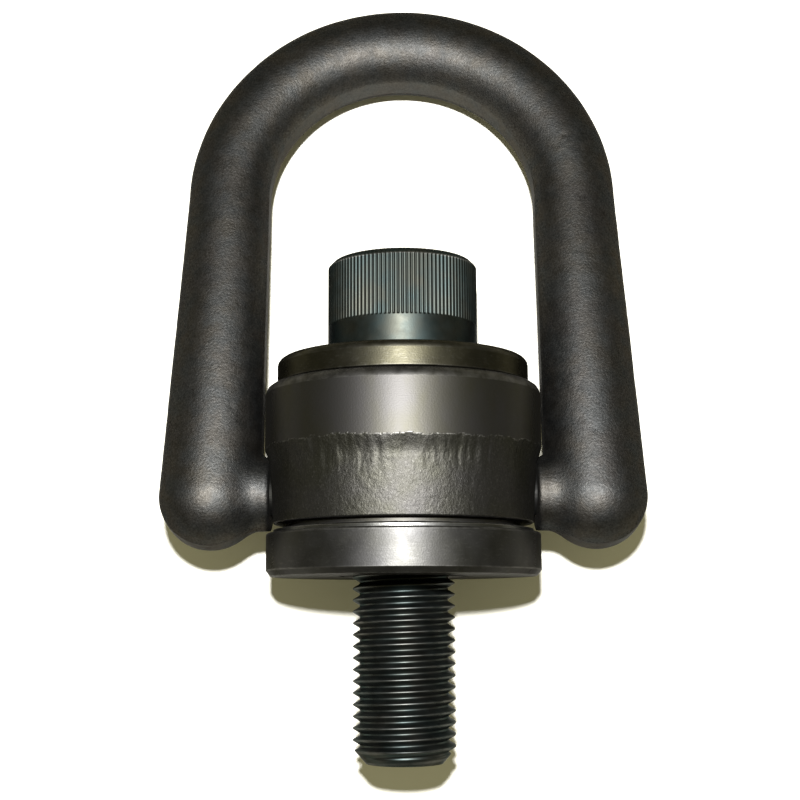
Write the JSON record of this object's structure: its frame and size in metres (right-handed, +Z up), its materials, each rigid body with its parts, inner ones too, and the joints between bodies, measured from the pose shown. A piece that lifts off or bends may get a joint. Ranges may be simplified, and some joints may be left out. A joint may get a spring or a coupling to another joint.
{
  "type": "swivel hoist ring",
  "caption": "Swivelling eye bolt: a forged U-shaped bail pivots on a round body that turns on a bushing, held down by a knurled cap screw whose thread goes into the load.",
  "frame": {"origin": "centre of the seat, the face of the flanged bushing that meets the load, on the screw's axis", "axes": "+Y along the screw, away from the load; +X along the bail's pivot axis; +Z up as the loose ring lies on its back, on the body's band and the bail's crown"},
  "size_m": [0.1832, 0.3047, 0.1044],
  "materials": {
    "screw_oxide": "black oxide, satin",
    "ring_steel": "spring steel, oiled",
    "bushing_oxide": "ground and black oxide, satin",
    "thrust_steel": "hardened and ground",
    "washer_oxide": "black oxide, smooth",
    "body_oxide": "forged below, turned above, black oxide",
    "pin_steel": "hardened and ground",
    "bail_forging": "drop forged, shot blasted, black oxide"
  },
  "bodies": {
    "screw": {"cap_screw": "screw_oxide", "screw_retaining_ring": "ring_steel"},
    "bushing": {"flanged_bushing": "bushing_oxide", "thrust_ring": "thrust_steel", "bushing_retaining_ring": "ring_steel", "top_washer": "washer_oxide"},
    "body": {"swivel_body": "body_oxide", "pivot_pin_left": "pin_steel", "pivot_pin_right": "pin_steel"},
    "bail": {"bail": "bail_forging"}
  },
  "joints": [
    {"name": "screw_turn", "type": "hinge", "parent": "screw", "child": "bushing", "pos_m": [0, 0.04, 0], "axis": [0, 1, 0], "continuous": true},
    {"name": "swivel", "type": "hinge", "parent": "bushing", "child": "body", "pos_m": [0, 0.0308, 0], "axis": [0, 1, 0], "continuous": true},
    {"name": "bail_pivot", "type": "hinge", "parent": "body", "child": "bail", "pos_m": [0, 0.0308, 0], "axis": [1, 0, 0], "range_deg": [-79.4, 100.6]}
  ]
}
